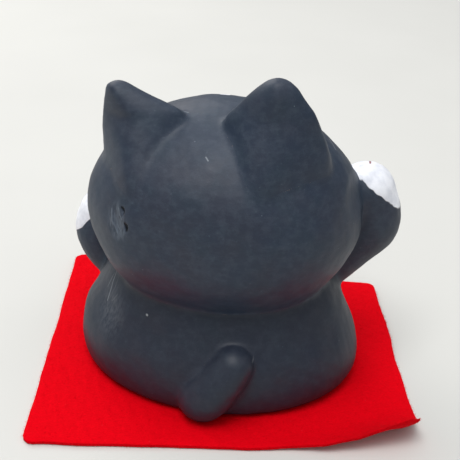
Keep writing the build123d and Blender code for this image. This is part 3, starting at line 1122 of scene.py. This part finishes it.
def laid(points):
    """Felt as it lies: cut by hand, not quite flat, and with one corner curling up."""
    flat = points * np.array([1, 1, 0])
    start, end = (np.array(point) for point in CURL_LINE)
    run = (end - start) / np.linalg.norm(end - start)
    across = np.array([run[1], -run[0]])
    past = np.clip((points[:, :2] - start) @ across, 0, None)
    lift = CURL * (past / CURL_REACH) ** 2
    drawn_in = (2 * CURL / CURL_REACH**2) ** 2 * past**3 / 6  # the felt keeps its length as it lifts
    far = np.clip((points[:, :2] - np.array(FAR_START)) @ np.array(FAR_WAY) / FAR_REACH, 0, 1)
    lift += FAR_LIFT * far**2
    moved = points.copy()
    moved[:, :2] -= drawn_in[:, None] * across
    moved[:, 0] += 0.12 * waves(flat, 15, 21) + 0.04 * waves(flat, 4, 22)
    moved[:, 1] += 0.12 * waves(flat, 13, 23) + 0.04 * waves(flat, 3.5, 24)
    moved[:, 2] += lift + np.clip(0.5 * lift, 0, 1) * 0.15 * waves(flat, 8, 25)
    top = np.clip(points[:, 2] / MAT_SIZE.z, 0, 1)
    edge = edge_distance(points)
    nap = 0.05 * waves(flat, 2.2, 26) + 0.04 * waves(flat, 0.9, 27)
    moved[:, 2] += top * nap * np.clip(edge, 0, 1)
    moved[:, 2] -= 0.22 * (top - 0.5) * 2 * np.exp(-np.clip(edge, 0, None) / 0.35)
    return moved


def edge_distance(points):
    """How far inside the mat's outline each point is."""
    inside = np.full(len(points), 1e9)
    for corner, outward in outline_cuts():
        inside = np.minimum(inside, (np.array(corner) - points[:, :2]) @ np.array(outward))
    return inside


def mat_form(shape):
    wide, deep = MAT_SIZE.x / 2 + 1, MAT_SIZE.y / 2 + 1
    across, along = round(2 * wide / WEAVE), round(2 * deep / WEAVE)
    bmesh.ops.create_grid(shape, x_segments=across, y_segments=along, size=1)
    bmesh.ops.scale(shape, vec=(wide, deep, 1), verts=shape.verts)
    for corner, outward in outline_cuts():
        everything = shape.verts[:] + shape.edges[:] + shape.faces[:]
        bmesh.ops.bisect_plane(
            shape, geom=everything, plane_co=corner.to_3d(), plane_no=outward.to_3d(), clear_outer=True
        )
    bmesh.ops.remove_doubles(shape, verts=shape.verts, dist=0.05)
    bmesh.ops.solidify(shape, geom=shape.faces[:], thickness=MAT_SIZE.z)
    low = min(vert.co.z for vert in shape.verts)
    bmesh.ops.translate(shape, vec=(0, 0, -low), verts=shape.verts)


mat = model("red_felt", mat_form, finish=felt_paint("red_felt_paint", 1.0))
set_points(mat.data, laid(points_of(mat.data)))


def fibre(shape, foot, lean, length, thickness):
    """One wool fibre: a thin closed taper."""
    place = Matrix.Translation(foot) @ lean.to_track_quat("Z", "Y").to_matrix().to_4x4()
    bmesh.ops.create_cone(
        shape,
        cap_ends=True,
        segments=3,
        radius1=thickness,
        radius2=0.4 * thickness,
        depth=length,
        matrix=place @ at(0, 0, 0.4 * length),
    )


CLUMPS = 34
CLUMP_FIBRES = 240  # three in five of them along the edge


def fuzz_form(shape):
    """Loose fibres over the felt and, closer together, along its cut edge."""
    chance = random.Random(8)
    corners = mat_corners()
    sides = list(zip(corners, corners[1:] + corners[:1]))
    for _ in range(CLUMPS):
        clump = bmesh.new()
        for number in range(CLUMP_FIBRES):
            if number % 5 < 3:
                start, end = chance.choice(sides)
                spot = start.lerp(end, chance.uniform(0.02, 0.98))
                inward = (end - start).orthogonal().normalized()
                inward = inward if inward.dot(-spot) > 0 else -inward
                spot = spot + inward * chance.uniform(0.05, 0.5)
                height = chance.uniform(0.1, 0.95) * MAT_SIZE.z
                lean = Vector((*-inward, chance.uniform(-0.5, 1.1))) + noise_vector(chance, 0.8)
                length = chance.uniform(0.25, 0.8)
            else:
                across = chance.uniform(MAT_LOW.x, MAT_HIGH.x)
                spot = Vector((across, chance.uniform(MAT_LOW.y, MAT_HIGH.y)))
                height = MAT_SIZE.z * 0.98
                lean = noise_vector(chance, 1) + Vector((0, 0, 0.35))
                lean.z = abs(lean.z)
                length = chance.uniform(0.3, 0.9)
            foot = Vector((*spot, height))
            if edge_distance(np.array([foot]))[0] > 0.02:
                fibre(clump, foot, lean, length, chance.uniform(0.018, 0.034))
        piece = bpy.data.meshes.new("clump")
        clump.to_mesh(piece)
        clump.free()
        shape.from_mesh(piece)
        bpy.data.meshes.remove(piece)


def noise_vector(chance, size):
    """A random direction and length."""
    return Vector([chance.gauss(0, size) for _ in range(3)])


fuzz = model("felt_fuzz", fuzz_form, finish=felt_paint("fuzz_paint", 0.0))
set_points(fuzz.data, laid(points_of(fuzz.data)))

# ---- The floor, the light and the camera
floor = model("floor", floor_form, finish=floor_paint())

LENS = 66.5
EYE_AT = (4.65, 153.3, 110.0)  # behind the cat and above it
HEADING = Vector((-0.0314, -0.9995, -math.tan(math.radians(28.1))))
ROLL = math.radians(2.87)
camera_data = bpy.data.cameras.new("camera")
camera_data.lens = LENS
camera_data.sensor_width = 36
camera_data.clip_start = 0.01
camera = bpy.data.objects.new("camera", camera_data)
bpy.context.scene.collection.objects.link(camera)
forward = HEADING.normalized()
level = forward.cross(Vector((0, 0, 1))).normalized()
upright = level.cross(forward)
right = math.cos(ROLL) * level + math.sin(ROLL) * upright
up = math.cos(ROLL) * upright - math.sin(ROLL) * level
turn = Matrix((right, up, -forward)).transposed().to_4x4()
camera.matrix_world = Matrix.Translation(Vector(EYE_AT) * MM) @ turn
bpy.context.scene.camera = camera


def window(name, place, aim, size, power, tint):
    """A soft rectangular light at a place, turned to where it shines."""
    light = bpy.data.lights.new(name, "AREA")
    light.shape = "RECTANGLE"
    light.size, light.size_y = size
    light.energy = power
    light.color = tint
    lamp = bpy.data.objects.new(name, light)
    place = Vector(place)
    turn = (Vector(aim) - place).to_track_quat("-Z", "Y").to_matrix().to_4x4()
    lamp.matrix_world = Matrix.Translation(place) @ turn
    bpy.context.scene.collection.objects.link(lamp)


window("ceiling", (0.13, 0.24, 0.8), (0, 0, 0.03), (0.42, 0.42), 4.0, (0.98, 0.99, 1.0))
window("far_window", (0.34, -0.5, 0.45), (0, 0, 0.03), (0.6, 0.4), 2.3, (1.0, 0.985, 0.96))


def sky_of(world):
    """A plain room: dark low down and brighter towards the ceiling."""
    world.use_nodes = True
    tree = world.node_tree
    background = tree.nodes["Background"]
    background.inputs["Color"].default_value = (0.95, 0.97, 1.0, 1)
    where = tree.nodes.new("ShaderNodeTexCoord")
    height = tree.nodes.new("ShaderNodeSeparateXYZ")
    strength = tree.nodes.new("ShaderNodeMapRange")
    strength.inputs["To Min"].default_value = 0.04
    strength.inputs["To Max"].default_value = 1.08
    tree.links.new(where.outputs["Generated"], height.inputs[0])
    tree.links.new(height.outputs["Z"], strength.inputs["Value"])
    tree.links.new(strength.outputs[0], background.inputs["Strength"])
    return world


bpy.context.scene.world = sky_of(bpy.data.worlds.new("room"))
bpy.context.scene.view_settings.view_transform = "Standard"

# ---- Hand everything over
for name, piece in {**pieces, "red_felt": mat, "felt_fuzz": fuzz}.items():
    mesh = piece.data
    mesh.transform(Matrix.Scale(MM, 4))
    mesh.shade_smooth()
    mesh.set_sharp_from_angle(angle=math.radians(50))
    mesh.update()
    if piece in (mat, fuzz):
        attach(piece, "mat")
        continue
    piece.name = name + "_skin"
    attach(piece, "figurine")
    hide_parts(name)
    SLOTS.get(name, "painted_clay")
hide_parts("felt_mat")
corners = mat_corners()
flat_area = sum(0.5 * start.cross(end) for start, end in zip(corners, corners[1:] + corners[:1]))
abs(flat_area) * MM * MM
for thing in list(bpy.context.scene.objects):
    if thing.type == "MESH" and not thing.parent and thing is not floor:
        throw_away(thing)
